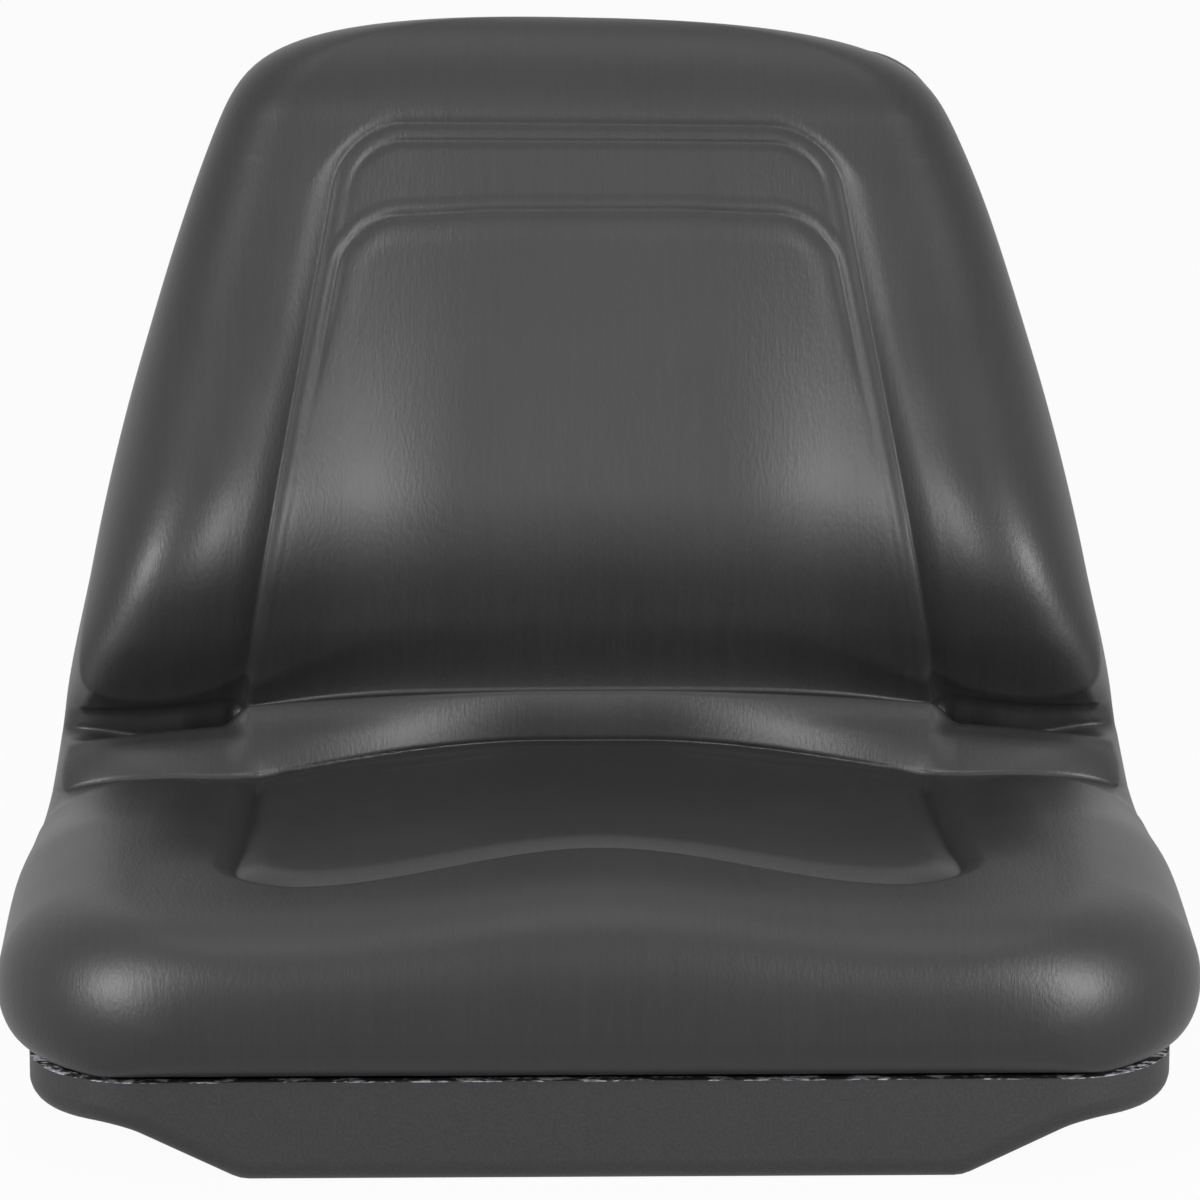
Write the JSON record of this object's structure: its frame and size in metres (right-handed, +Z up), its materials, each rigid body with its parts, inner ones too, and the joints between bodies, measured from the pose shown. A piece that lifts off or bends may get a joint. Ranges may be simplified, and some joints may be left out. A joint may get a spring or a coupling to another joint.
{
  "type": "ride on mower seat",
  "caption": "Bucket seat for a ride on mower: a formed vinyl foam cushion with raised bolsters on a one-piece moulded plastic pan that bolts down through its flat base.",
  "frame": {"origin": "centre of the four mounting holes on the flat underside of the pan", "axes": "+Z up, the sitter faces -Y, +X to the sitter's left"},
  "size_m": [0.4928, 0.4889, 0.4001],
  "materials": {
    "cushion_vinyl": "grained satin vinyl",
    "pan_plastic": "fine grained",
    "nut_steel": "zinc plated",
    "clip_plastic": "smooth nylon",
    "plug_rubber": "matte"
  },
  "bodies": {
    "root": {"cushion": "cushion_vinyl", "seat_pan": "pan_plastic", "captive_nuts": "nut_steel", "cushion_clips": "clip_plastic", "switch_plug": "plug_rubber"}
  },
  "joints": []
}
